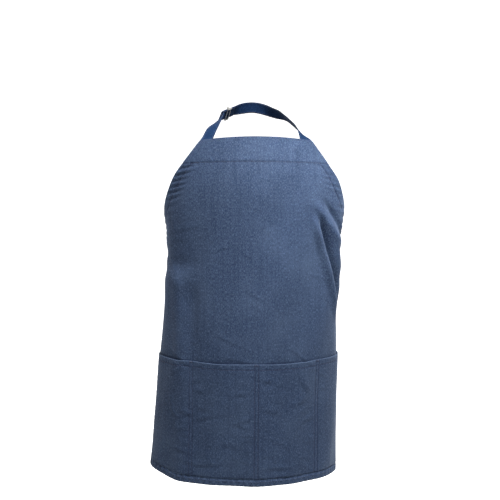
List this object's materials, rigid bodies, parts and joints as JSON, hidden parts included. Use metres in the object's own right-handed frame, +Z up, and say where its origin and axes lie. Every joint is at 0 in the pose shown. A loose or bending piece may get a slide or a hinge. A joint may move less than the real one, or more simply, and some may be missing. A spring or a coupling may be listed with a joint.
{
  "type": "artist apron",
  "caption": "Denim bib apron with a neck loop, waist ties tied in a bow and a sewn-on band of open pockets across the skirt.",
  "frame": {"origin": "inner face of the neck strap at the nape of the wearer's neck", "axes": "+Z up along the wearer, front of the apron faces -Y, +X to the right when seen from the front"},
  "size_m": [0.44, 0.2815, 0.8595],
  "materials": {
    "denim": "matte",
    "strap_denim": "matte",
    "thread": "satin",
    "slider_metal": "satin"
  },
  "bodies": {
    "neck_loop": {"neck_strap_left": "strap_denim", "neck_strap_right": "strap_denim"},
    "slider": {"neck_slider": "slider_metal"},
    "bib": {"bib_panel": "denim", "bib_top_hem": "denim", "armhole_hem_left": "denim", "armhole_hem_right": "denim", "bib_hem_stitching": "thread", "armhole_stitching_left": "thread", "armhole_stitching_right": "thread", "strap_end_left": "strap_denim", "strap_end_right": "strap_denim", "tie_end_left": "strap_denim", "tie_end_right": "strap_denim"},
    "skirt": {"skirt_panel": "denim", "side_hem_left": "denim", "side_hem_right": "denim", "bottom_hem": "denim", "divider_left": "denim", "divider_centre": "denim", "divider_right": "denim", "pocket_edge_left": "denim", "pocket_edge_right": "denim", "divider_stitching": "thread", "side_stitching_left": "thread", "side_stitching_right": "thread", "hem_stitching": "thread", "pocket_bartacks": "thread"},
    "outer_left_pocket": {"pocket_outer_left": "denim", "mouth_hem_outer_left": "denim", "mouth_stitch_outer_left": "thread"},
    "inner_left_pocket": {"pocket_inner_left": "denim", "mouth_hem_inner_left": "denim", "mouth_stitch_inner_left": "thread"},
    "inner_right_pocket": {"pocket_inner_right": "denim", "mouth_hem_inner_right": "denim", "mouth_stitch_inner_right": "thread"},
    "outer_right_pocket": {"pocket_outer_right": "denim", "mouth_hem_outer_right": "denim", "mouth_stitch_outer_right": "thread"},
    "waist_loop": {"waist_tie_left": "strap_denim", "waist_tie_right": "strap_denim", "bow_knot": "strap_denim"},
    "left_loop": {"bow_loop_left": "strap_denim"},
    "left_tail": {"bow_tail_left": "strap_denim"},
    "right_loop": {"bow_loop_right": "strap_denim"},
    "right_tail": {"bow_tail_right": "strap_denim"}
  },
  "joints": [
    {"name": "bib_swing", "type": "hinge", "parent": "neck_loop", "child": "bib", "pos_m": [0, -0.149, -0.069], "axis": [-1, 0, 0], "range_deg": [-4, 40]},
    {"name": "slider_slide", "type": "slide", "parent": "neck_loop", "child": "slider", "axis": [0.5883, 0.7845, 0.1961], "range_m": [-0.012, 0.012]},
    {"name": "skirt_swing", "type": "hinge", "parent": "bib", "child": "skirt", "pos_m": [0, -0.199, -0.36], "axis": [-1, 0, 0], "range_deg": [0, 18]},
    {"name": "outer_left_pocket_open", "type": "hinge", "parent": "skirt", "child": "outer_left_pocket", "pos_m": [-0.1982, -0.1211, -0.831], "axis": [0.6748, -0.738, 0], "range_deg": [0, 6], "stiffness_Nm_per_rad": 0.06},
    {"name": "inner_left_pocket_open", "type": "hinge", "parent": "skirt", "child": "inner_left_pocket", "pos_m": [-0.0756, -0.1975, -0.831], "axis": [0.9595, -0.2816, 0], "range_deg": [0, 6], "stiffness_Nm_per_rad": 0.06},
    {"name": "inner_right_pocket_open", "type": "hinge", "parent": "skirt", "child": "inner_right_pocket", "pos_m": [0.0752, -0.1951, -0.831], "axis": [0.9396, 0.3422, 0], "range_deg": [0, 6], "stiffness_Nm_per_rad": 0.06},
    {"name": "outer_right_pocket_open", "type": "hinge", "parent": "skirt", "child": "outer_right_pocket", "pos_m": [0.1867, -0.1044, -0.831], "axis": [0.5269, 0.8499, 0], "range_deg": [0, 6], "stiffness_Nm_per_rad": 0.06},
    {"name": "waist_loop_swing", "type": "hinge", "parent": "bib", "child": "waist_loop", "pos_m": [0, -0.0243, -0.3435], "axis": [1, 0, 0], "range_deg": [-25, 12]},
    {"name": "right_loop_droop", "type": "hinge", "parent": "waist_loop", "child": "right_loop", "pos_m": [0, 0.05, -0.3435], "axis": [0, 1, 0], "range_deg": [-25, 25]},
    {"name": "left_loop_droop", "type": "hinge", "parent": "waist_loop", "child": "left_loop", "pos_m": [0, 0.05, -0.3435], "axis": [0, -1, 0], "range_deg": [-25, 25]},
    {"name": "right_tail_swing", "type": "hinge", "parent": "waist_loop", "child": "right_tail", "pos_m": [0, 0.05, -0.3435], "axis": [0, -1, 0], "range_deg": [-12, 30]},
    {"name": "left_tail_swing", "type": "hinge", "parent": "waist_loop", "child": "left_tail", "pos_m": [0, 0.05, -0.3435], "axis": [0, 1, 0], "range_deg": [-12, 30]}
  ]
}
